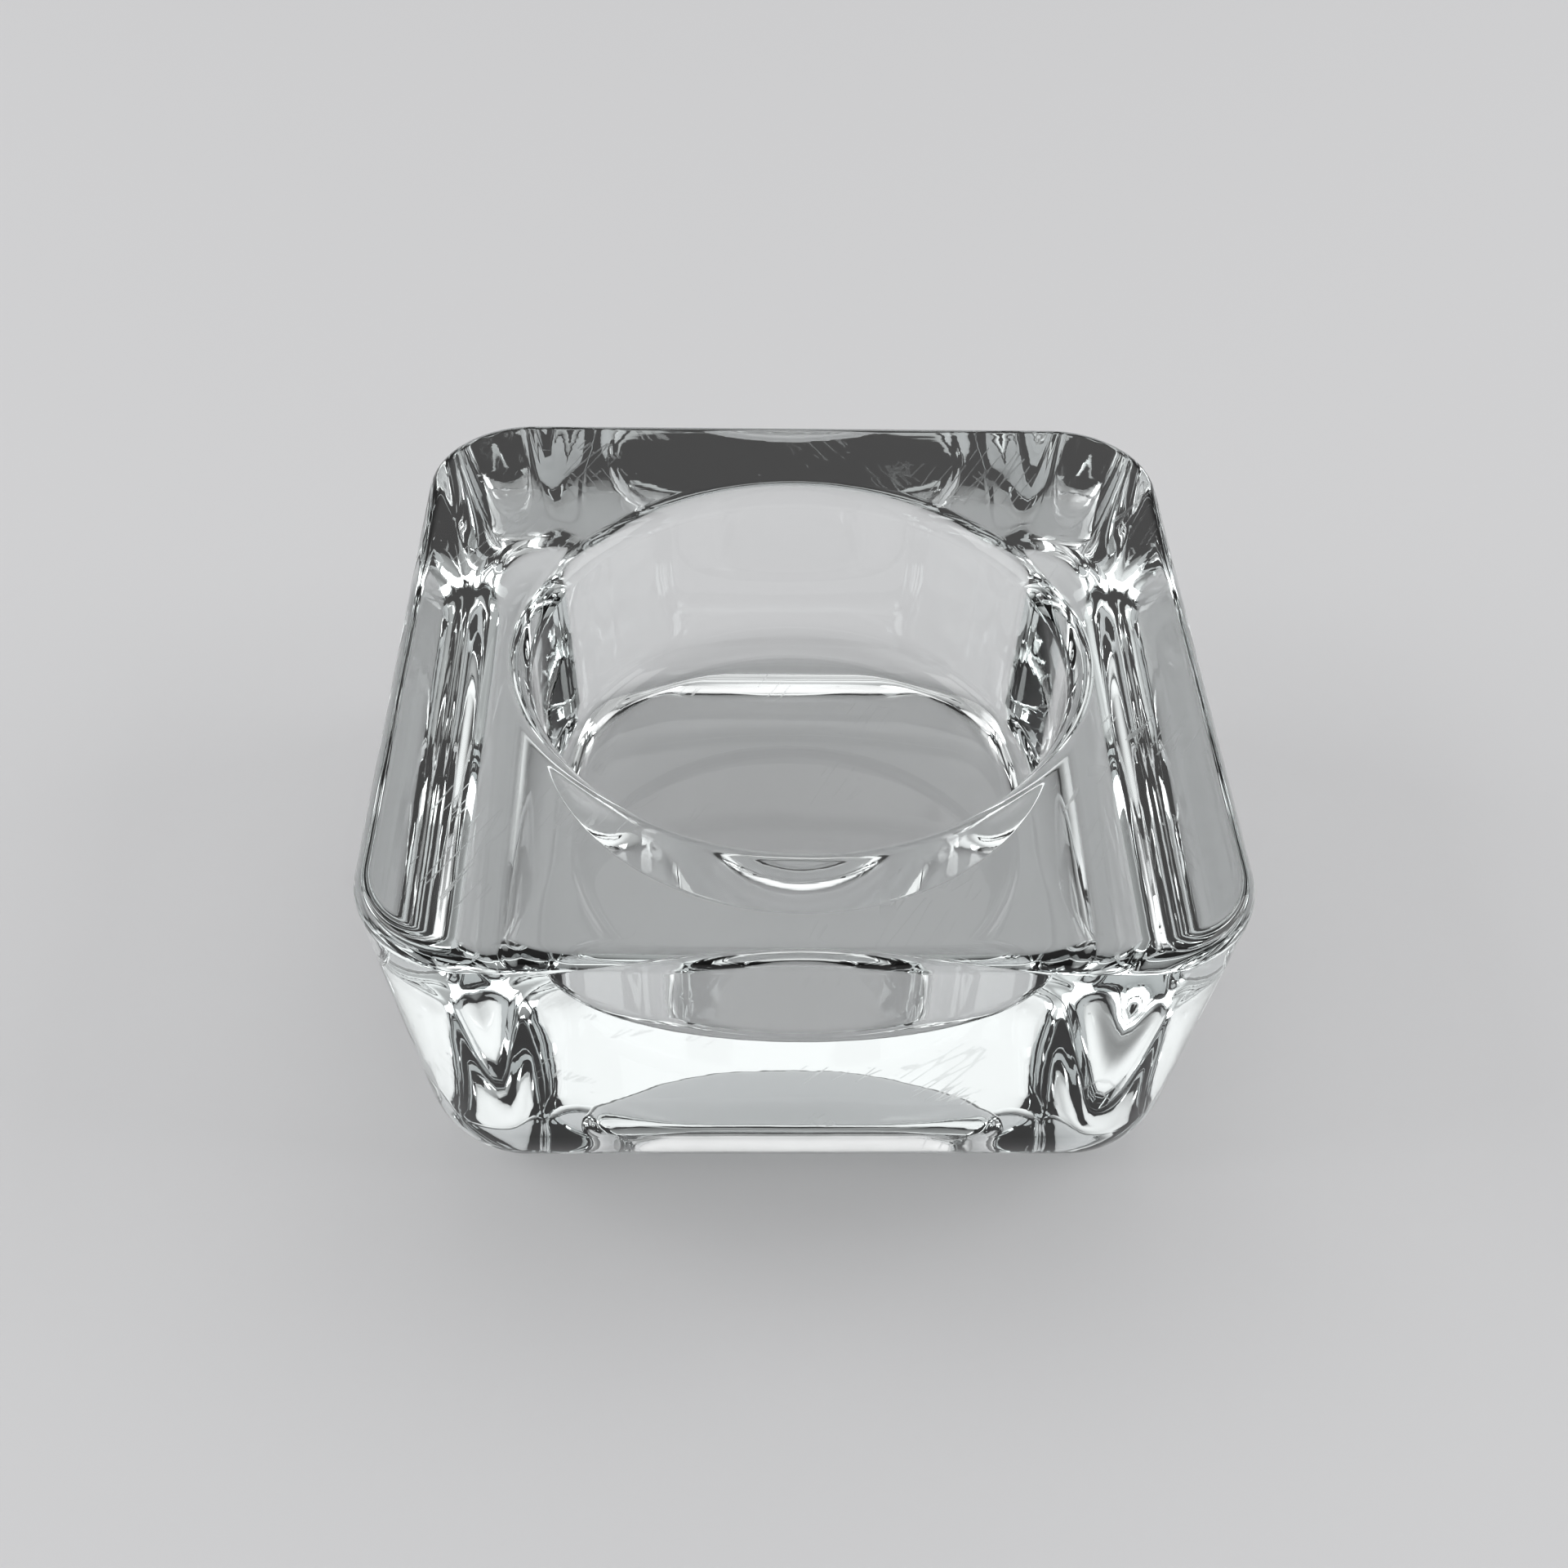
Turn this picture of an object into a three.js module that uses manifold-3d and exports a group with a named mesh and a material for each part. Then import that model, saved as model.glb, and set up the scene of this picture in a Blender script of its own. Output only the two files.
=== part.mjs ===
// A glass tealight holder: one block of clear pressed glass, square in plan with round corners.
// A round well opens in its top face, and a shallow square dish is pressed into its underside.
// Millimetres, +Z up. The origin is the middle of the base, on the plane the block stands on.

import * as THREE from 'three';
import { mergeVertices } from 'three/addons/utils/BufferGeometryUtils.js';
import Module from 'manifold-3d';

// Outside of the block
const topWidth = 60; // across opposite sides at the widest, where the top edge starts to round
const baseWidth = 54; // across opposite sides, where their lines meet the base plane
const blockHeight = 28.3;
const topCornerRadius = 8.35; // of the corners in plan, at the top
const baseCornerRadius = 7.2; // of the corners in plan, at the base
const topEdgeRound = 1.5;
const baseEdgeAcross = 4.4; // of the base edge's round, which is drawn out upwards
const baseEdgeUp = 7;

// Well for the tealight
const wellDiameter = 39.7;
const wellDepth = 15.8;
const wellFloorFillet = 2.8;
const lipRound = 1.8; // of the rim where the well meets the top face

// Dish under the base, inside the rim that the block stands on
const standingRim = 0.6; // its width at the middle of each side
const dishDepth = 1.2;
const dishSlope = 6; // width of the sloped edge, seen from below
const dishCornerRadius = 6.3; // of the corners in plan, at the standing rim
const dishFlatCornerRadius = 12; // of the corners of the flat inside the slope

// Fineness of the facets
const cornerSteps = 8; // along each corner arc
const roundSteps = 8; // across each rounded edge, fillet or slope
const wellSteps = 72; // around the well
const cutOverrun = 2; // how far a cutting solid stands out of the glass
const sharpestCorner = 0.2;

const wasm = await Module();
wasm.setup();

function solidFrom(geometry) {
  const bare = geometry.clone();
  bare.deleteAttribute('normal');
  bare.deleteAttribute('uv');
  const merged = mergeVertices(bare, 1e-4);
  return new wasm.Manifold(
    new wasm.Mesh({
      numProp: 3,
      vertProperties: new Float32Array(merged.attributes.position.array),
      triVerts: new Uint32Array(merged.index.array),
    }),
  );
}

function geometryFrom(solid) {
  const mesh = solid.getMesh();
  const geometry = new THREE.BufferGeometry();
  geometry.setAttribute('position', new THREE.BufferAttribute(mesh.vertProperties, 3));
  geometry.setIndex(new THREE.BufferAttribute(mesh.triVerts, 1));
  geometry.computeVertexNormals();
  return geometry;
}

// Points of an arc of a circle or an oval, between two angles in radians from the X axis
function arcPoints(centre, radii, fromAngle, toAngle, steps = roundSteps) {
  const points = [];
  for (let k = 0; k <= steps; k += 1) {
    const angle = fromAngle + ((toAngle - fromAngle) * k) / steps;
    const reach = new THREE.Vector2(Math.cos(angle), Math.sin(angle)).multiply(radii);
    points.push(reach.add(centre));
  }
  return points;
}

function evenRadii(radius) {
  return new THREE.Vector2(radius, radius);
}

// The top edge's round, seen edge on: the side's line leans out from the base until it touches it
const topRoundCentre = new THREE.Vector2(topWidth / 2 - topEdgeRound, blockHeight - topEdgeRound);
const baseToCentre = new THREE.Vector2(topRoundCentre.x - baseWidth / 2, topRoundCentre.y);
const sideLean =
  Math.atan2(baseToCentre.x, baseToCentre.y) + Math.asin(topEdgeRound / baseToCentre.length());

function sideLine(z) {
  return baseWidth / 2 + z * Math.tan(sideLean);
}

// Where the base edge's round turns into the leaning side, as an angle on its oval
const baseTouch = -Math.atan((baseEdgeUp / baseEdgeAcross) * Math.tan(sideLean));
const baseTouchHeight = baseEdgeUp * (1 + Math.sin(baseTouch));

// Half width of the flat of the base, where its round starts
const flatBaseHalfWidth = sideLine(baseTouchHeight) - baseEdgeAcross * Math.cos(baseTouch);

// Half widths and heights up the outside, with the rounded edges tangent to the leaning side
function outsideProfile() {
  const baseRoundCentre = new THREE.Vector2(flatBaseHalfWidth, baseEdgeUp);
  const baseRadii = new THREE.Vector2(baseEdgeAcross, baseEdgeUp);
  return [
    ...arcPoints(baseRoundCentre, baseRadii, -Math.PI / 2, baseTouch),
    ...arcPoints(topRoundCentre, evenRadii(topEdgeRound), -sideLean, Math.PI / 2),
  ];
}

// A level square with round corners
function roundedSquare(halfWidth, cornerRadius, z) {
  const radius = Math.max(cornerRadius, sharpestCorner);
  const cornerCentre = halfWidth - radius;
  const cornerMiddle = new THREE.Vector2(cornerCentre, cornerCentre);
  const corner = arcPoints(cornerMiddle, evenRadii(radius), 0, Math.PI / 2, cornerSteps);
  const middle = new THREE.Vector2();
  const points = [];
  for (let quarter = 0; quarter < 4; quarter += 1) {
    const turn = (quarter * Math.PI) / 2;
    points.push(...corner.map((point) => point.clone().rotateAround(middle, turn)));
  }
  return points.map((point) => new THREE.Vector3(point.x, point.y, z));
}

// One level of the outside, whose corners stay parallel to the side's where an edge rounds inwards
function outsideSection(halfWidth, z) {
  const cornerAtSide = THREE.MathUtils.lerp(baseCornerRadius, topCornerRadius, z / blockHeight);
  return roundedSquare(halfWidth, cornerAtSide - (sideLine(z) - halfWidth), z);
}

// Closed skin through a stack of sections of equal point counts, from the lowest to the highest
function loft(sections) {
  const count = sections[0].length;
  const bottomCentre = sections.length * count;
  const topCentre = bottomCentre + 1;
  const positions = sections.flat().flatMap((point) => point.toArray());
  positions.push(0, 0, sections[0][0].z, 0, 0, sections.at(-1)[0].z);
  const index = [];
  for (let k = 0; k < count; k += 1) {
    const next = (k + 1) % count;
    const topRing = (sections.length - 1) * count;
    index.push(bottomCentre, next, k, topCentre, topRing + k, topRing + next);
    for (let level = 0; level < sections.length - 1; level += 1) {
      const low = level * count;
      const high = low + count;
      index.push(low + k, low + next, high + next, low + k, high + next, high + k);
    }
  }
  const geometry = new THREE.BufferGeometry();
  geometry.setAttribute('position', new THREE.Float32BufferAttribute(positions, 3));
  geometry.setIndex(index);
  return geometry;
}

// The air in the well, with the floor fillet at its foot and the rim's round at its mouth
function wellSpace() {
  const radius = wellDiameter / 2;
  const floor = blockHeight - wellDepth;
  const filletCentre = new THREE.Vector2(radius - wellFloorFillet, floor + wellFloorFillet);
  const rimCentre = new THREE.Vector2(radius + lipRound, blockHeight - lipRound);
  const profile = [
    new THREE.Vector2(0, floor),
    ...arcPoints(filletCentre, evenRadii(wellFloorFillet), -Math.PI / 2, 0),
    ...arcPoints(rimCentre, evenRadii(lipRound), Math.PI, Math.PI / 2),
    new THREE.Vector2(radius + lipRound, blockHeight + cutOverrun),
    new THREE.Vector2(0, blockHeight + cutOverrun),
  ];
  return new THREE.LatheGeometry(profile, wellSteps).rotateX(Math.PI / 2);
}

// The air in the dish, which rises steeply from the standing rim and eases into its flat
function dishSpace() {
  const outer = flatBaseHalfWidth - standingRim;
  const sections = [roundedSquare(outer, dishCornerRadius, -cutOverrun)];
  for (let k = 0; k <= roundSteps; k += 1) {
    const share = k / roundSteps;
    const cornerRadius = THREE.MathUtils.lerp(dishCornerRadius, dishFlatCornerRadius, share);
    const rise = dishDepth * share * (2 - share);
    sections.push(roundedSquare(outer - dishSlope * share, cornerRadius, rise));
  }
  return loft(sections);
}

function glassBlock() {
  const outside = loft(outsideProfile().map((point) => outsideSection(point.x, point.y)));
  const block = solidFrom(outside).subtract(solidFrom(wellSpace())).subtract(solidFrom(dishSpace()));
  const clearGlass = new THREE.MeshStandardMaterial({
    color: 0xf2f7f5,
    roughness: 0.03,
    metalness: 0,
    transparent: true,
    opacity: 0.35,
  });
  const mesh = new THREE.Mesh(geometryFrom(block), clearGlass);
  mesh.name = 'glass_block';
  return mesh;
}

const holder = new THREE.Group();
holder.add(glassBlock());

export default holder;
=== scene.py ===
"""A glass tealight holder: one block of clear pressed glass on a pale studio floor.

The block is square in plan with round corners. It has a round well in its top face and a shallow
square dish under its base. Everything is in metres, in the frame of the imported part, with +Z up
and the origin in the middle of the base.
"""

import logging
import math
from dataclasses import dataclass, field, fields
from enum import Enum

import bpy
from mathutils import Matrix, Vector


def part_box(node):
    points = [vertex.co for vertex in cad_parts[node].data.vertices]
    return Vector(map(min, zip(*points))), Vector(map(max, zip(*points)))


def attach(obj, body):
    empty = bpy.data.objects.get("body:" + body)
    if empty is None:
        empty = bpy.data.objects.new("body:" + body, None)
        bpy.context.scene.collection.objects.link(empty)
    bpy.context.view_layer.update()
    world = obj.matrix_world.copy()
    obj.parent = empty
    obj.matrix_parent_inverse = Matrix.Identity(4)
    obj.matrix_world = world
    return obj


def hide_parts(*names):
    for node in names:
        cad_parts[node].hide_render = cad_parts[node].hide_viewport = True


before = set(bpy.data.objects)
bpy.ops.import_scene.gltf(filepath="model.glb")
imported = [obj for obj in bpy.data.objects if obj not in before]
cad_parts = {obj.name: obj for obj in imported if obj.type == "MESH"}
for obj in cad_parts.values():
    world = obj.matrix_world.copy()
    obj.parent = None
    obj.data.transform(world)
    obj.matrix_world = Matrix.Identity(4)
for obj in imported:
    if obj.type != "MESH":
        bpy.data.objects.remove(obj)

LOG = logging.getLogger("tealight_holder")
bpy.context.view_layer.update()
GLASS_NODE = "glass_block"
BODY = "root"
MM = 0.001
NUMBER = "FLOAT"
QUARTERS = 4
QUARTER_TURN = math.pi / 2
WHITE = (1.0, 1.0, 1.0, 1.0)


class Mark(Enum):
    """The marks of the mould on the glass, by the ring's number that says how strong each is."""

    WAVES = "waves"
    SIDE_STREAKS = "side_streaks"
    WALL_STREAKS = "wall_streaks"


class Graph:
    """Adds nodes to one node tree and links them."""

    def __init__(self, tree: bpy.types.NodeTree) -> None:
        """Keeps the tree to write in."""
        self.tree = tree

    def put(self, socket: bpy.types.NodeSocket, value: object) -> None:
        """Gives a socket its value, by a link where the value is another socket.

        Args:
            socket: The input to set.
            value: A socket to link from, or a plain value.
        """
        if isinstance(value, bpy.types.NodeSocket):
            self.tree.links.new(value, socket)
        else:
            socket.default_value = value

    def node(self, kind: str, inputs: dict | None = None, **settings: object) -> bpy.types.Node:
        """Adds one node.

        Args:
            kind: The node's type name.
            inputs: Values or sockets for its inputs, by name or by number.
            settings: The node's own settings.

        Returns:
            The new node.
        """
        node = self.tree.nodes.new(kind)
        for name, value in settings.items():
            setattr(node, name, value)
        for key, value in (inputs or {}).items():
            self.put(node.inputs[key], value)
        return node

    def number(self, operation: str, *values: object) -> bpy.types.NodeSocket:
        """Adds a math node, gives it its inputs in order and returns its result."""
        return self.node("ShaderNodeMath", dict(enumerate(values)), operation=operation).outputs[0]

    def vector(self, operation: str, *values: object) -> bpy.types.NodeSocket:
        """Adds a vector math node, gives it its inputs in order and returns its vector."""
        return self.node("ShaderNodeVectorMath", dict(enumerate(values)), operation=operation).outputs[0]


def add_input(tree: bpy.types.NodeTree, name: str, kind: str, value: object = None) -> str:
    """Adds a named input to a node group.

    Args:
        tree: The group.
        name: The input's name.
        kind: The socket's type name.
        value: Its default, if it has one.

    Returns:
        The input's identifier.
    """
    socket = tree.interface.new_socket(name, in_out="INPUT", socket_type=kind)
    if value is not None:
        socket.default_value = value
    return socket.identifier


def link_object(name: str, data: bpy.types.ID) -> bpy.types.Object:
    """Puts a new object in the scene.

    Args:
        name: The object's name.
        data: Its mesh, light or camera.

    Returns:
        The object.
    """
    thing = bpy.data.objects.new(name, data)
    bpy.context.scene.collection.objects.link(thing)
    return thing


@dataclass(frozen=True)
class Station:
    """One level ring of the skin: a rounded square, or a circle where radius equals half width.

    The last three numbers say how strongly the glass is waved and streaked there: 1 is plain
    strength, and 0 is none.
    """

    half_width: float
    corner_radius: float
    height: float
    waves: float = 1.0
    side_streaks: float = 0.0
    wall_streaks: float = 0.0

    @classmethod
    def names(cls) -> list[str]:
        """Returns the names of the ring's numbers."""
        return [item.name for item in fields(cls)]

    def values(self) -> list[float]:
        """Returns the ring's numbers, in the order of their names."""
        return [getattr(self, name) for name in self.names()]

    def towards(self, other: "Station", share: float) -> "Station":
        """Returns the ring that lies a share, from 0 to 1, of the way to another one."""
        return Station(*[a + (b - a) * share for a, b in zip(self.values(), other.values())])


def eased(share: float) -> float:
    """Returns a share, held between 0 and 1, that starts and ends gently."""
    held = min(max(share, 0.0), 1.0)
    return held * held * (3 - 2 * held)


def between(start: Station, end: Station, steps: int) -> list[Station]:
    """Returns that many rings after the first and up to the last, closer together at both ends."""
    shares = [(1 - math.cos(math.pi * k / steps)) / 2 for k in range(1, steps + 1)]
    return [start.towards(end, share) for share in shares]


@dataclass
class PressedBlock:
    """The glass block with its well and the dish under its base, as one closed skin."""

    width: float
    height: float
    base_width: float = 54 * MM
    top_corner_radius: float = 8.35 * MM
    base_corner_radius: float = 7.2 * MM
    top_edge_round: float = 1.5 * MM
    base_edge_across: float = 4.4 * MM
    base_edge_up: float = 7 * MM
    well_diameter: float = 39.7 * MM
    well_depth: float = 15.8 * MM
    well_draft: float = math.radians(1.5)
    well_floor_fillet: float = 2.8 * MM
    lip_round: float = 1.8 * MM
    standing_rim: float = 0.6 * MM
    dish_depth: float = 1.6 * MM
    dish_slope: float = 6 * MM
    dish_corner_radius: float = 6.3 * MM
    dish_flat_corner_radius: float = 12 * MM
    dish_hollow_power: int = 2
    dish_edge_power: int = 8
    round_steps: int = 14
    dish_steps: int = 20
    dish_flat_steps: int = 12
    rim_steps: int = 4
    face_steps: int = 16
    floor_steps: int = 10
    side_steps: int = 60
    columns: int = 384
    quarter_nudge: float = 1e-4
    wave_height: float = 0.006 * MM
    wave_length: float = 7 * MM
    underside_waves: float = 4.0
    underside_fade: float = 3.0
    streak_height: float = 0.004 * MM
    streak_length: float = 12 * MM
    streak_width: float = 1.3 * MM
    seed: int = 4
    seed_step: float = 1.7
    weld_distance: float = 0.001 * MM
    lean: float = field(init=False)

    def __post_init__(self) -> None:
        """Works out how far the sides lean, so that their line touches the top edge's round."""
        across = self.width / 2 - self.top_edge_round - self.base_width / 2
        up = self.height - self.top_edge_round
        self.lean = math.atan2(across, up) + math.asin(self.top_edge_round / math.hypot(across, up))

    def side_line(self, height: float) -> float:
        """Returns how far the leaning side's line is from the axis at a height above the base."""
        return self.base_width / 2 + height * math.tan(self.lean)

    def outside(self, half_width: float, height: float) -> Station:
        """Returns a ring of the outside, with its corners parallel to those of the side.

        Args:
            half_width: From the axis to the ring's side.
            height: The height above the base.

        Returns:
            The ring.
        """
        share = height / self.height
        corner = self.base_corner_radius + (self.top_corner_radius - self.base_corner_radius) * share
        radius = corner - (self.side_line(height) - half_width)
        up_from_base = eased(height / self.base_edge_up)
        down_from_top = eased((self.height - height) / self.top_edge_round)
        return Station(half_width, radius, height, up_from_base, up_from_base * down_from_top)

    def arc(self, centre: tuple[float, float], radii: tuple[float, float],
            turn: tuple[float, float]) -> list[tuple[float, float]]:
        """Returns points of a round edge in the profile, circular or drawn out.

        Args:
            centre: The round's centre, as distance from the axis and height.
            radii: Its radius across and its radius up.
            turn: The directions where it starts and ends, in radians from level.

        Returns:
            Its points, each as distance from the axis and height.
        """
        steps = range(self.round_steps + 1)
        angles = [turn[0] + (turn[1] - turn[0]) * k / self.round_steps for k in steps]
        return [(centre[0] + radii[0] * math.cos(a), centre[1] + radii[1] * math.sin(a)) for a in angles]

    def dish(self, flat_base: Station) -> list[Station]:
        """Draws the underside, from the middle of the dish to the standing rim.

        Args:
            flat_base: The ring where the base's flat ends.

        Returns:
            Its rings, the flat's end last.
        """
        outer = flat_base.half_width - self.standing_rim
        inner = outer - self.dish_slope
        waves = self.underside_waves
        middle = Station(0, 0, self.dish_depth, waves)
        flat = Station(inner, self.dish_flat_corner_radius, self.dish_depth, waves)
        rings = [middle] + between(middle, flat, self.dish_flat_steps)
        for k in range(1, self.dish_steps + 1):
            share = k / self.dish_steps
            extra = self.dish_corner_radius - self.dish_flat_corner_radius
            corner = self.dish_flat_corner_radius + extra * share
            hollow = 1 - share ** self.dish_hollow_power
            rounded_edge = 1 - share ** self.dish_edge_power
            height = self.dish_depth * hollow * rounded_edge
            fading = waves * eased(self.underside_fade - self.underside_fade * share)
            rings.append(Station(inner + self.dish_slope * share, corner, height, fading))
        return rings + between(rings[-1], flat_base, self.rim_steps)

    def shell(self) -> list[Station]:
        """Draws the outside, with both rounded edges tangent to the leaning side.

        Returns:
            Its rings, from the flat of the base to the flat of the top.
        """
        across, up = self.base_edge_across, self.base_edge_up
        touch = -math.atan(up / across * math.tan(self.lean))
        flat = self.side_line(up * (1 + math.sin(touch))) - across * math.cos(touch)
        top_centre = (self.width / 2 - self.top_edge_round, self.height - self.top_edge_round)
        base_turn = (-QUARTER_TURN, touch)
        top_turn = (-self.lean, QUARTER_TURN)
        low = self.arc((flat, up), (across, up), base_turn)
        high = self.arc(top_centre, (self.top_edge_round,) * 2, top_turn)
        low_rings = [self.outside(*point) for point in low]
        high_rings = [self.outside(*point) for point in high]
        side = between(low_rings[-1], high_rings[0], self.side_steps)
        return low_rings + side + high_rings[1:]

    def well(self, flat_top: Station) -> list[Station]:
        """Draws the top and the well, whose wall narrows a little towards its floor.

        Args:
            flat_top: The ring where the top's flat starts.

        Returns:
            Its rings, without the first, over the lip and down to the well's middle.
        """
        radius, draft, round_up = self.well_diameter / 2, self.well_draft, self.well_floor_fillet
        floor = self.height - self.well_depth
        lip = self.arc((radius + self.lip_round, self.height - self.lip_round),
                       (self.lip_round,) * 2, (QUARTER_TURN, math.pi - draft))
        wall_top, wall_height = lip[-1][0], lip[-1][1] - floor - round_up
        fillet_centre = wall_top - wall_height * math.tan(draft) - round_up / math.cos(draft)
        fillet = self.arc((fillet_centre, floor + round_up), (round_up,) * 2, (-draft, -QUARTER_TURN))
        rim_ease = [eased(k / self.round_steps) for k in range(self.round_steps + 1)]
        lip_rings = [Station(r, r, z, 1, 0, ease) for (r, z), ease in zip(lip, rim_ease)]
        fillet_rings = [Station(r, r, z, 1, 0, 1 - ease) for (r, z), ease in zip(fillet, rim_ease)]
        top = between(flat_top, lip_rings[0], self.face_steps)
        wall = between(lip_rings[-1], fillet_rings[0], self.face_steps)
        middle = between(fillet_rings[-1], Station(0, 0, floor), self.floor_steps)
        return top + lip_rings[1:] + wall + fillet_rings[1:] + middle

    def stations(self) -> list[Station]:
        """Returns every ring of the skin, from the middle of the dish to the middle of the well."""
        shell = self.shell()
        return self.dish(shell[0]) + shell[1:] + self.well(shell[-1])

    def profile_mesh(self) -> bpy.types.Mesh:
        """Makes the mesh that the geometry nodes read the rings from.

        Returns:
            A mesh with one point for each ring, which carries the ring's numbers.
        """
        rings = self.stations()
        mesh = bpy.data.meshes.new("ring profile")
        mesh.from_pydata([(ring.half_width, 0, ring.height) for ring in rings], [], [])
        for name in Station.names():
            layer = mesh.attributes.new(name, NUMBER, "POINT")
            layer.data.foreach_set("value", [getattr(ring, name) for ring in rings])
        return mesh

    def skin_tree(self) -> tuple[bpy.types.NodeTree, dict[str, str]]:
        """Builds the geometry nodes that spread the rings round the axis.

        Returns:
            The tree, and the identifiers of its inputs by name.
        """
        tree = bpy.data.node_groups.new("skin through rings", "GeometryNodeTree")
        add_input(tree, "Geometry", "NodeSocketGeometry")
        ids = {
            "Columns": add_input(tree, "Columns", "NodeSocketInt"),
            "Wave height": add_input(tree, "Wave height", "NodeSocketFloat"),
            "Wave length": add_input(tree, "Wave length", "NodeSocketFloat"),
            "Streak height": add_input(tree, "Streak height", "NodeSocketFloat"),
            "Streak length": add_input(tree, "Streak length", "NodeSocketFloat"),
            "Streak width": add_input(tree, "Streak width", "NodeSocketFloat"),
            "Seed": add_input(tree, "Seed", "NodeSocketInt"),
            "Glass": add_input(tree, "Glass", "NodeSocketMaterial"),
        }
        tree.interface.new_socket("Geometry", in_out="OUTPUT", socket_type="NodeSocketGeometry")
        graph = Graph(tree)
        given = graph.node("NodeGroupInput").outputs
        size = graph.node("GeometryNodeAttributeDomainSize", {0: given["Geometry"]})
        last_ring = graph.number("SUBTRACT", size.outputs["Point Count"], 1)
        grid = graph.node("GeometryNodeMeshGrid", {
            "Size X": last_ring,
            "Size Y": given["Columns"],
            "Vertices X": size.outputs["Point Count"],
            "Vertices Y": graph.number("ADD", given["Columns"], 1),
        })
        place = graph.node("ShaderNodeSeparateXYZ", {0: graph.node("GeometryNodeInputPosition").outputs[0]})
        middle_ring = graph.number("DIVIDE", last_ring, 2)
        ring = graph.number("ROUND", graph.number("ADD", place.outputs[0], middle_ring))
        half_turns = graph.number("DIVIDE", place.outputs[1], given["Columns"])
        quarters = graph.number("MULTIPLY", graph.number("ADD", half_turns, 0.5), QUARTERS)
        whole = graph.number("FLOOR", graph.number("ADD", quarters, self.quarter_nudge))
        quarter = graph.number("MINIMUM", whole, QUARTERS - 1)
        along = graph.number("SUBTRACT", quarters, quarter)
        ringed = {name: self.sampled(graph, given["Geometry"], name, ring) for name in Station.names()}
        flat = self.outline_point(graph, ringed, along)
        turned = graph.node("ShaderNodeVectorRotate", {
            "Vector": flat,
            "Angle": graph.number("MULTIPLY", quarter, QUARTER_TURN),
        }, rotation_type="Z_AXIS")
        marked = grid.outputs["Mesh"]
        for mark in Mark:
            stored = graph.node("GeometryNodeStoreNamedAttribute", {"Geometry": marked, "Name": mark.value},
                                data_type=NUMBER)
            graph.put(stored.inputs["Value"], ringed[mark.value])
            marked = stored.outputs[0]
        spread = graph.node("GeometryNodeSetPosition", {
            "Geometry": marked,
            "Position": turned.outputs[0],
        })
        closed = graph.node("GeometryNodeMergeByDistance", {
            "Geometry": spread.outputs[0],
            "Distance": self.weld_distance,
        })
        outward = graph.node("GeometryNodeFlipFaces", {"Mesh": closed.outputs[0]})
        rippled = self.rippled(graph, outward.outputs[0], given)
        for mark in Mark:
            bare = graph.node("GeometryNodeRemoveAttribute", {"Geometry": rippled, "Name": mark.value})
            rippled = bare.outputs[0]
        smooth = graph.node("GeometryNodeSetShadeSmooth", {"Geometry": rippled, "Shade Smooth": True})
        real = graph.node("GeometryNodeRealizeInstances", {"Geometry": smooth.outputs[0]})
        dressed = graph.node("GeometryNodeSetMaterial", {
            "Geometry": real.outputs[0],
            "Material": given["Glass"],
        })
        graph.node("NodeGroupOutput", {"Geometry": dressed.outputs[0]})
        return tree, ids

    def sampled(self, graph: Graph, source: bpy.types.NodeSocket, name: str,
                ring: bpy.types.NodeSocket) -> bpy.types.NodeSocket:
        """Reads one of the ring's numbers from the profile.

        Args:
            graph: The tree being written.
            source: The profile's geometry.
            name: The attribute to read.
            ring: The ring's number in the profile.

        Returns:
            The value's socket.
        """
        named = graph.node("GeometryNodeInputNamedAttribute", {"Name": name}, data_type=NUMBER)
        sample = graph.node("GeometryNodeSampleIndex", {"Geometry": source, "Index": ring},
                            data_type=NUMBER)
        graph.put(sample.inputs["Value"], named.outputs[0])
        return sample.outputs[0]

    def outline_point(self, graph: Graph, ringed: dict, along: bpy.types.NodeSocket) -> bpy.types.NodeSocket:
        """Finds a point on a quarter of the ring, from the middle of one side to that of the next.

        Args:
            graph: The tree being written.
            ringed: The ring's numbers, by name.
            along: How far along the quarter, from 0 to 1.

        Returns:
            The point's socket.
        """
        radius = ringed["corner_radius"]
        corner = graph.number("SUBTRACT", ringed["half_width"], radius)
        bend = graph.number("MULTIPLY", radius, QUARTER_TURN)
        length = graph.number("ADD", graph.number("MULTIPLY", corner, 2), bend)
        reach = graph.number("MULTIPLY", along, length)
        first = graph.number("MINIMUM", reach, corner)
        past = graph.number("SUBTRACT", reach, corner)
        turned = graph.number("MAXIMUM", graph.number("DIVIDE", past, radius), 0)
        angle = graph.number("MINIMUM", turned, QUARTER_TURN)
        last = graph.number("MAXIMUM", graph.number("SUBTRACT", past, bend), 0)
        rest = graph.number("SUBTRACT", corner, last)
        x = graph.number("ADD", rest, graph.number("MULTIPLY", radius, graph.number("COSINE", angle)))
        y = graph.number("ADD", first, graph.number("MULTIPLY", radius, graph.number("SINE", angle)))
        return graph.node("ShaderNodeCombineXYZ", {0: x, 1: y, 2: ringed["height"]}).outputs[0]

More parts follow.
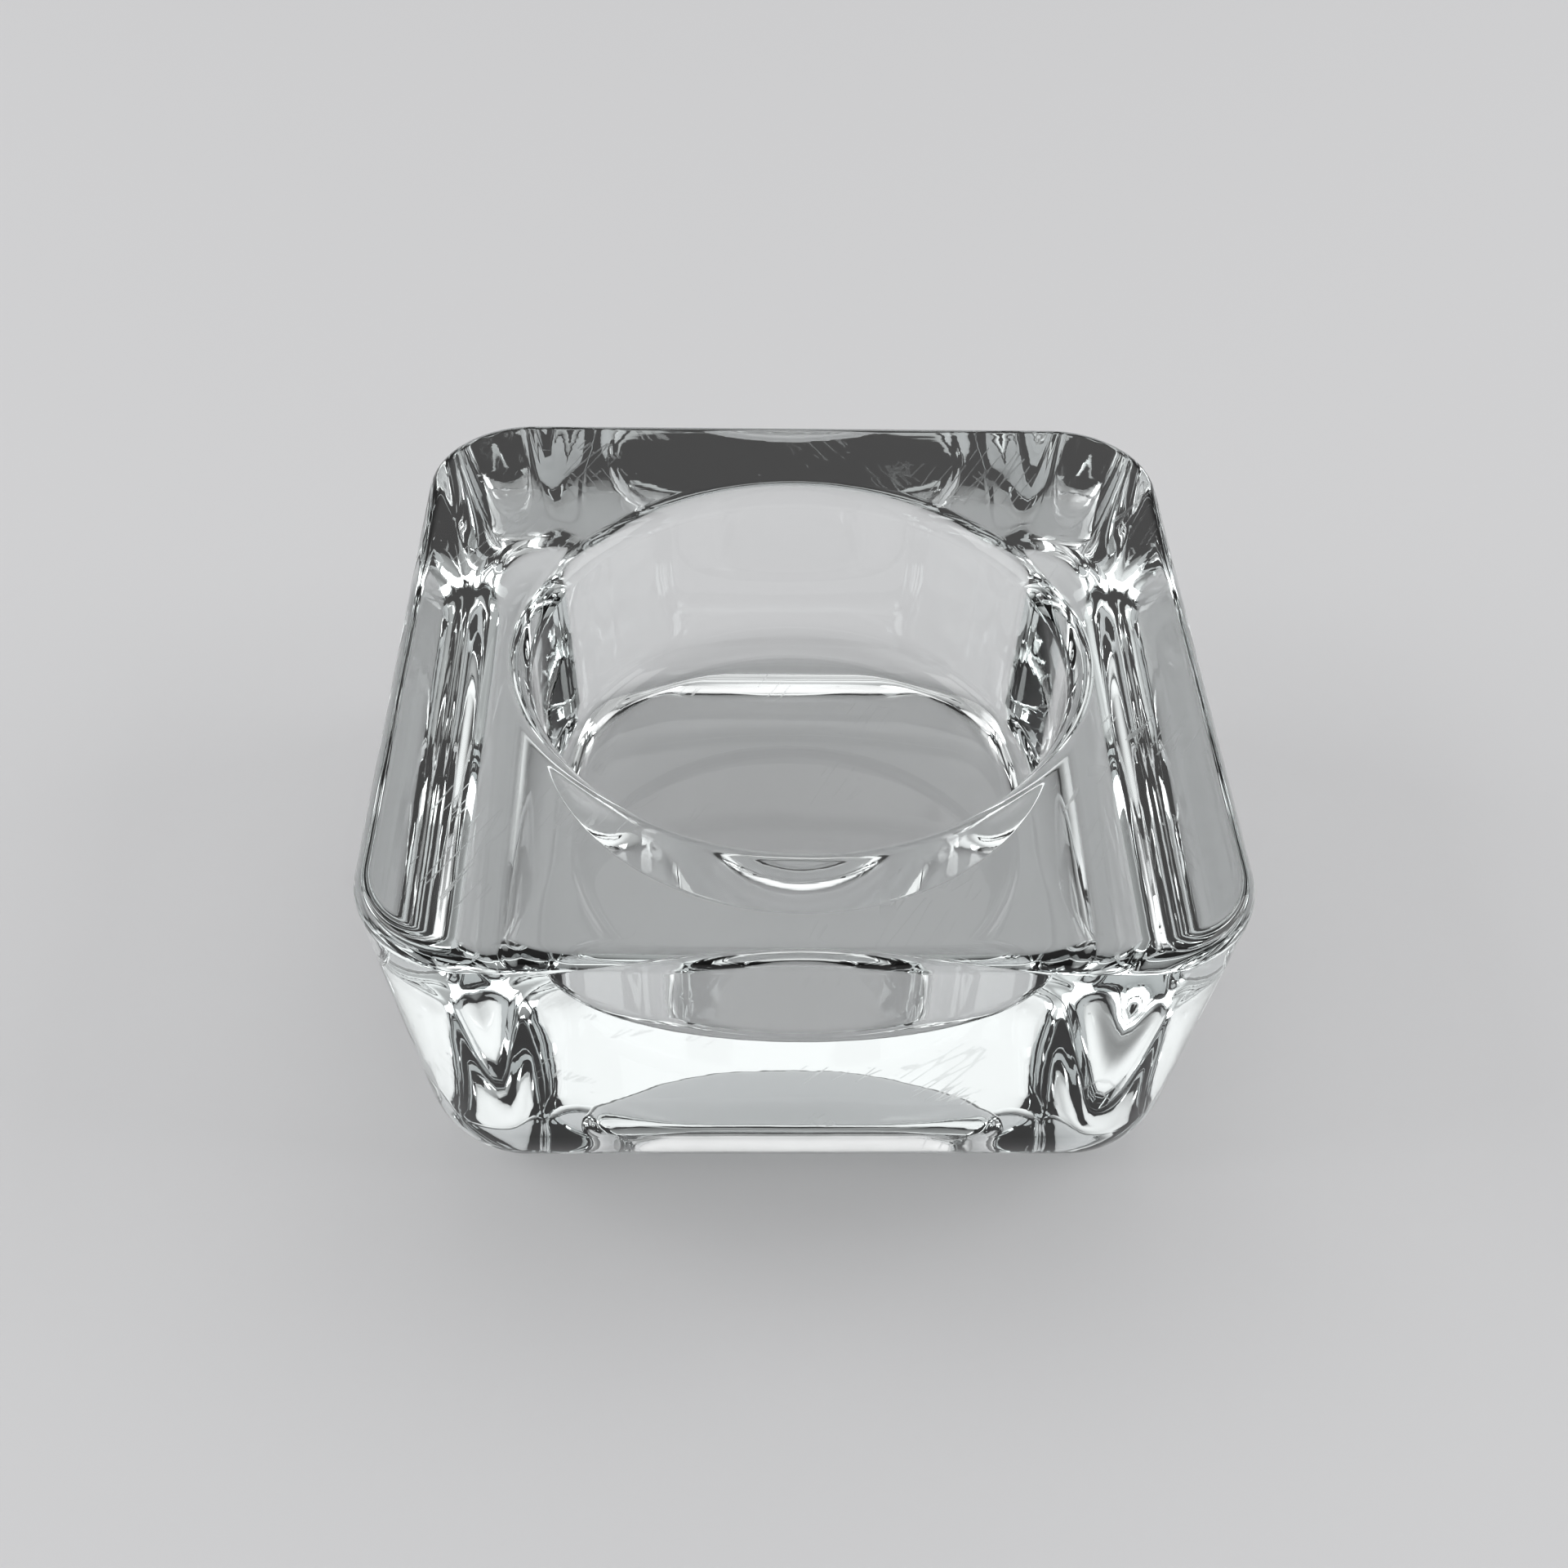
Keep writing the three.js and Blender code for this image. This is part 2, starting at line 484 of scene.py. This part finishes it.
    def rippled(self, graph: Graph, skin: bpy.types.NodeSocket, given: object) -> bpy.types.NodeSocket:
        """Adds the faint waves and streaks that the mould leaves in pressed glass.

        Args:
            graph: The tree being written.
            skin: The smooth skin.
            given: The tree's inputs.

        Returns:
            The rippled skin.
        """
        place = graph.node("GeometryNodeInputPosition").outputs[0]
        long = graph.number("DIVIDE", 1, given["Streak length"])
        fine = graph.number("DIVIDE", 1, given["Streak width"])
        even = graph.number("DIVIDE", 1, given["Wave length"])
        kinds = {
            Mark.WAVES: (given["Wave height"], (even, even, even)),
            Mark.SIDE_STREAKS: (given["Streak height"], (long, long, fine)),
            Mark.WALL_STREAKS: (given["Streak height"], (fine, fine, long)),
        }
        depth = 0.0
        for number, (mark, (height, scales)) in enumerate(kinds.items()):
            stretch = graph.node("ShaderNodeCombineXYZ", dict(enumerate(scales))).outputs[0]
            noise = graph.node("ShaderNodeTexNoise", {
                "Vector": graph.vector("MULTIPLY", place, stretch),
                "W": graph.number("ADD", given["Seed"], number * self.seed_step),
                "Scale": 1.0, "Detail": 2.0, "Roughness": 0.45,
            }, noise_dimensions="4D")
            centred = graph.number("MULTIPLY", graph.number("SUBTRACT", noise.outputs[0], 0.5), 2)
            weight = graph.node("GeometryNodeInputNamedAttribute", {"Name": mark.value},
                                data_type=NUMBER).outputs[0]
            part = graph.number("MULTIPLY", graph.number("MULTIPLY", centred, height), weight)
            depth = graph.number("ADD", depth, part)
        normal = graph.node("GeometryNodeInputNormal").outputs[0]
        offset = graph.node("ShaderNodeVectorMath", {0: normal, "Scale": depth}, operation="SCALE").outputs[0]
        return graph.node("GeometryNodeSetPosition", {"Geometry": skin, "Offset": offset}).outputs[0]

    def build(self, glass: bpy.types.Material) -> bpy.types.Object:
        """Makes the block as a plain mesh.

        Args:
            glass: The block's material.

        Returns:
            The block's object.
        """
        source = link_object("ring profile", self.profile_mesh())
        tree, ids = self.skin_tree()
        spread = source.modifiers.new("skin", "NODES")
        spread.node_group = tree
        values = {
            "Columns": self.columns,
            "Wave height": self.wave_height,
            "Wave length": self.wave_length,
            "Streak height": self.streak_height,
            "Streak length": self.streak_length,
            "Streak width": self.streak_width,
            "Seed": self.seed,
            "Glass": glass,
        }
        for name, value in values.items():
            spread[ids[name]] = value
        evaluated = source.evaluated_get(bpy.context.evaluated_depsgraph_get())
        mesh = bpy.data.meshes.new_from_object(evaluated)
        mesh.name = "pressed_glass"
        bpy.data.objects.remove(source)
        block = link_object("pressed_glass", mesh)
        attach(block, BODY)
        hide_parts(GLASS_NODE)
        return block


@dataclass(frozen=True)
class ClearGlass:
    """Fire-polished soda-lime glass, faintly green where it is thick."""

    refractive_index: float = 1.52
    polish: float = 0.0
    worn: float = 0.2
    tint: tuple[float, float, float] = (0.0, 0.6, 0.55)
    tint_density: float = 1.1
    scratch_depth: float = 0.003 * MM
    wave_depth: float = 0.004 * MM
    wave_length: float = 2.6 * MM
    streak_depth: float = 0.001 * MM
    streak_sizes: tuple[float, float, float] = (14 * MM, 14 * MM, 0.5 * MM)

    def material(self) -> bpy.types.Material:
        """Builds the glass: clear, glossy, with hairline scratches, specks and shallow waves.

        Returns:
            The material.
        """
        material = bpy.data.materials.new("clear pressed glass")
        material.use_nodes = True
        material.node_tree.nodes.clear()
        graph = Graph(material.node_tree)
        surface = graph.node("ShaderNodeTexCoord").outputs
        place = surface["Object"]
        hairs = graph.node("ShaderNodeGroup", {
            "Vector": place, "Normal": surface["Normal"],
        }, node_tree=hairline_group())
        dust = graph.node("ShaderNodeGroup", {"Vector": place}, node_tree=speck_group())
        marks = graph.number("MAXIMUM", hairs.outputs["Mask"], dust.outputs["Mask"])
        roughness = graph.node("ShaderNodeMapRange", {
            "Value": marks, "To Min": self.polish, "To Max": self.worn,
        })
        wave = graph.node("ShaderNodeTexNoise", {
            "Vector": place, "Scale": 1 / self.wave_length, "Detail": 2.0, "Roughness": 0.5,
        })
        waved = graph.node("ShaderNodeBump", {
            "Strength": 1.0, "Distance": self.wave_depth, "Height": wave.outputs[0],
        })
        drawn_out = graph.vector("DIVIDE", place, self.streak_sizes)
        streak = graph.node("ShaderNodeTexNoise", {"Vector": drawn_out, "Scale": 1.0, "Detail": 3.0})
        streaked = graph.node("ShaderNodeBump", {
            "Strength": 1.0, "Distance": self.streak_depth, "Height": streak.outputs[0],
            "Normal": waved.outputs[0],
        })
        cut = graph.node("ShaderNodeBump", {
            "Strength": 1.0, "Distance": self.scratch_depth, "Height": marks,
            "Normal": streaked.outputs[0],
        }, invert=True)
        shader = graph.node("ShaderNodeBsdfPrincipled", {
            "Base Color": WHITE,
            "Metallic": 0.0,
            "Roughness": roughness.outputs[0],
            "IOR": self.refractive_index,
            "Transmission Weight": 1.0,
            "Normal": cut.outputs[0],
        })
        inside = graph.node("ShaderNodeVolumeAbsorption", {
            "Color": (*self.tint, 1.0), "Density": self.tint_density,
        })
        graph.node("ShaderNodeOutputMaterial", {
            "Surface": shader.outputs[0], "Volume": inside.outputs[0],
        })
        return material


def new_shader_group(name: str, inputs: dict[str, tuple[str, object]]) -> tuple[Graph, object]:
    """Starts a shader node group that puts out one mask.

    Args:
        name: The group's name.
        inputs: The socket type and default of each input, by name.

    Returns:
        The group's graph and its inputs.
    """
    tree = bpy.data.node_groups.new(name, "ShaderNodeTree")
    for label, (kind, value) in inputs.items():
        add_input(tree, label, kind, value)
    tree.interface.new_socket("Mask", in_out="OUTPUT", socket_type="NodeSocketFloat")
    graph = Graph(tree)
    return graph, graph.node("NodeGroupInput").outputs


def hairline_group() -> bpy.types.NodeTree:
    """Builds the hairline scratches: thin broken lines in a few places of the level faces only.

    Returns:
        The node group, whose mask is 1 on a scratch.
    """
    found = bpy.data.node_groups.get("hairline scratches")
    if found:
        return found
    graph, given = new_shader_group("hairline scratches", {
        "Vector": ("NodeSocketVector", None),
        "Normal": ("NodeSocketVector", None),
        "Stretch": ("NodeSocketVector", (900.0, 60.0, 300.0)),
        "Width": ("NodeSocketFloat", 0.035),
        "Lean": ("NodeSocketFloat", 0.5),
        "Patch scale": ("NodeSocketFloat", 120.0),
        "Patch limit": ("NodeSocketFloat", 0.62),
        "Level limit": ("NodeSocketFloat", 0.95),
    })
    lean = graph.node("ShaderNodeVectorRotate", {
        "Vector": given["Vector"], "Axis": (0.0, 0.0, 1.0), "Angle": given["Lean"],
    })
    drawn_out = graph.vector("MULTIPLY", lean.outputs[0], given["Stretch"])
    cells = graph.node("ShaderNodeTexVoronoi", {"Vector": drawn_out, "Scale": 1.0},
                       feature="DISTANCE_TO_EDGE")
    line = graph.number("LESS_THAN", cells.outputs["Distance"], given["Width"])
    patches = graph.node("ShaderNodeTexNoise", {"Vector": given["Vector"], "Scale": given["Patch scale"]})
    kept = graph.number("GREATER_THAN", patches.outputs[0], given["Patch limit"])
    upward = graph.node("ShaderNodeSeparateXYZ", {0: given["Normal"]}).outputs[2]
    level = graph.number("GREATER_THAN", upward, given["Level limit"])
    scratched = graph.number("MULTIPLY", graph.number("MULTIPLY", line, kept), level)
    graph.node("NodeGroupOutput", {"Mask": scratched})
    return graph.tree


def speck_group() -> bpy.types.NodeTree:
    """Builds the specks: small round pits and dust grains, far apart.

    Returns:
        The node group, whose mask is 1 on a speck.
    """
    found = bpy.data.node_groups.get("specks")
    if found:
        return found
    graph, given = new_shader_group("specks", {
        "Vector": ("NodeSocketVector", None),
        "Scale": ("NodeSocketFloat", 700.0),
        "Size": ("NodeSocketFloat", 0.09),
        "Share": ("NodeSocketFloat", 0.06),
    })
    cells = graph.node("ShaderNodeTexVoronoi", {"Vector": given["Vector"], "Scale": given["Scale"]})
    chance = graph.node("ShaderNodeSeparateColor", {0: cells.outputs["Color"]}).outputs[0]
    near = graph.number("LESS_THAN", cells.outputs["Distance"], given["Size"])
    kept = graph.number("LESS_THAN", chance, given["Share"])
    graph.node("NodeGroupOutput", {"Mask": graph.number("MULTIPLY", near, kept)})
    return graph.tree


@dataclass(frozen=True)
class Softbox:
    """A rectangular soft lamp that faces a point on the object."""

    name: str
    place: tuple[float, float, float]
    size: tuple[float, float]
    radiance: float
    target: tuple[float, float, float] = (0.0, 0.0, 0.015)

    def build(self) -> bpy.types.Object:
        """Makes the lamp. Its power follows from its size and how bright its face is.

        Returns:
            The lamp's object.
        """
        data = bpy.data.lights.new(self.name, "AREA")
        data.shape = "RECTANGLE"
        data.size, data.size_y = self.size
        data.energy = self.radiance * math.pi * self.size[0] * self.size[1]
        lamp = link_object(self.name, data)
        lamp.location = self.place
        aim = Vector(self.target) - Vector(self.place)
        lamp.rotation_euler = aim.to_track_quat("-Z", "Y").to_euler()
        return lamp


@dataclass(frozen=True)
class View:
    """The camera that took the photograph."""

    place: tuple[float, float, float] = (-0.92 * MM, -111.16 * MM, 122.64 * MM)
    pitch: float = math.radians(44.24)
    yaw: float = math.radians(1.95)
    roll: float = math.radians(1.60)
    lens: float = 45.0
    sensor: float = 36.0
    nearest: float = 1 * MM

    def build(self) -> bpy.types.Object:
        """Makes the camera and gives it to the scene.

        Returns:
            The camera's object.
        """
        data = bpy.data.cameras.new("camera")
        data.lens = self.lens
        data.sensor_width = self.sensor
        data.clip_start = self.nearest
        camera = link_object("camera", data)
        ahead = Vector((0, math.cos(self.pitch), -math.sin(self.pitch)))
        level = Vector((1, 0, 0))
        up = Vector((0, math.sin(self.pitch), math.cos(self.pitch)))
        right = level * math.cos(self.roll) + up * math.sin(self.roll)
        top = up * math.cos(self.roll) - level * math.sin(self.roll)
        stance = Matrix((right, top, -ahead)).transposed().to_4x4()
        stance.translation = Vector(self.place)
        camera.matrix_world = Matrix.Rotation(-self.yaw, 4, "Z") @ stance
        bpy.context.scene.camera = camera
        return camera


@dataclass(frozen=True)
class Glow:
    """A soft patch of light in the room, far away, that fades out towards its edge."""

    way: tuple[float, float, float]
    spread: float
    strength: float

    def add(self, graph: Graph, way: bpy.types.NodeSocket) -> bpy.types.NodeSocket:
        """Adds the patch to the room's light.

        Args:
            graph: The world's graph.
            way: The direction looked in.

        Returns:
            The patch's strength in that direction.
        """
        middle = Vector(self.way).normalized()
        near = graph.node("ShaderNodeVectorMath", {0: way, 1: middle}, operation="DOT_PRODUCT")
        patch = graph.node("ShaderNodeMapRange", {
            "Value": near.outputs["Value"], "From Min": math.cos(self.spread), "From Max": 1.0,
            "To Min": 0.0, "To Max": self.strength,
        }, interpolation_type="SMOOTHERSTEP")
        return patch.outputs[0]


@dataclass(frozen=True)
class PaleFloor:
    """Smooth pale card, almost without gloss."""

    colour: tuple[float, float, float] = (0.72, 0.72, 0.73)
    roughness: float = 0.6
    gloss: float = 0.2

    def material(self) -> bpy.types.Material:
        """Builds the card's material.

        Returns:
            The material.
        """
        material = bpy.data.materials.new("pale floor")
        material.use_nodes = True
        shader = material.node_tree.nodes["Principled BSDF"]
        shader.inputs["Base Color"].default_value = (*self.colour, 1.0)
        shader.inputs["Roughness"].default_value = self.roughness
        shader.inputs["Specular IOR Level"].default_value = self.gloss
        return material


@dataclass(frozen=True)
class Studio:
    """The pale floor, the soft lamps and the light of the room."""

    floor_finish: PaleFloor = PaleFloor()
    floor_half: float = 3.0
    floor_gap: float = 0.05 * MM
    room_low: float = 0.16
    room_high: float = 0.45
    room_top: float = 0.9
    glows: tuple[Glow, ...] = (
        Glow((0.1, 0.55, 1.0), math.radians(50), 0.68),
        Glow((-1.0, -0.5, 0.8), math.radians(30), 0.5),
    )
    lamps: tuple[Softbox, ...] = (
        Softbox("left softbox", (-0.62, 0.05, 0.34), (0.50, 0.50), 2.0),
        Softbox("right softbox", (0.62, 0.05, 0.34), (0.50, 0.50), 2.0),
    )

    def floor(self) -> bpy.types.Object:
        """Makes the floor, a hair below the glass so that the two surfaces don't meet.

        Returns:
            The floor's object.
        """
        half = self.floor_half
        corners = [(-half, -half), (half, -half), (half, half), (-half, half)]
        mesh = bpy.data.meshes.new("floor")
        mesh.from_pydata([(x, y, -self.floor_gap) for x, y in corners], [], [(0, 1, 2, 3)])
        floor = link_object("floor", mesh)
        mesh.materials.append(self.floor_finish.material())
        return floor

    def room(self) -> None:
        """Lights the room: brighter above, darker towards the horizon."""
        world = bpy.data.worlds.new("room")
        world.use_nodes = True
        world.node_tree.nodes.clear()
        graph = Graph(world.node_tree)
        way = graph.node("ShaderNodeTexCoord").outputs["Generated"]
        height = graph.node("ShaderNodeSeparateXYZ", {0: way}).outputs[2]
        level = graph.node("ShaderNodeMapRange", {
            "Value": height, "From Min": 0.0, "From Max": self.room_top,
            "To Min": self.room_low, "To Max": self.room_high,
        }, interpolation_type="SMOOTHSTEP")
        strength = level.outputs[0]
        for glow in self.glows:
            strength = graph.number("ADD", strength, glow.add(graph, way))
        light = graph.node("ShaderNodeBackground", {"Color": WHITE, "Strength": strength})
        graph.node("ShaderNodeOutputWorld", {"Surface": light.outputs[0]})
        bpy.context.scene.world = world

    def build(self) -> None:
        """Makes the floor, the lamps and the room."""
        self.floor()
        self.room()
        for lamp in self.lamps:
            lamp.build()
            LOG.info("lamp %s", lamp.name)


def main() -> None:
    """Builds the camera, the studio and the glass, in that order."""
    logging.basicConfig(level=logging.INFO, format="%(name)s: %(message)s")
    View().build()
    Studio().build()
    low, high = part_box(GLASS_NODE)
    block = PressedBlock(width=high.x - low.x, height=high.z - low.z)
    glass = block.build(ClearGlass().material())
    LOG.info("piece %s: %d faces", glass.name, len(glass.data.polygons))
    bpy.context.scene.view_settings.view_transform = "Standard"


if __name__ == "__main__":
    main()
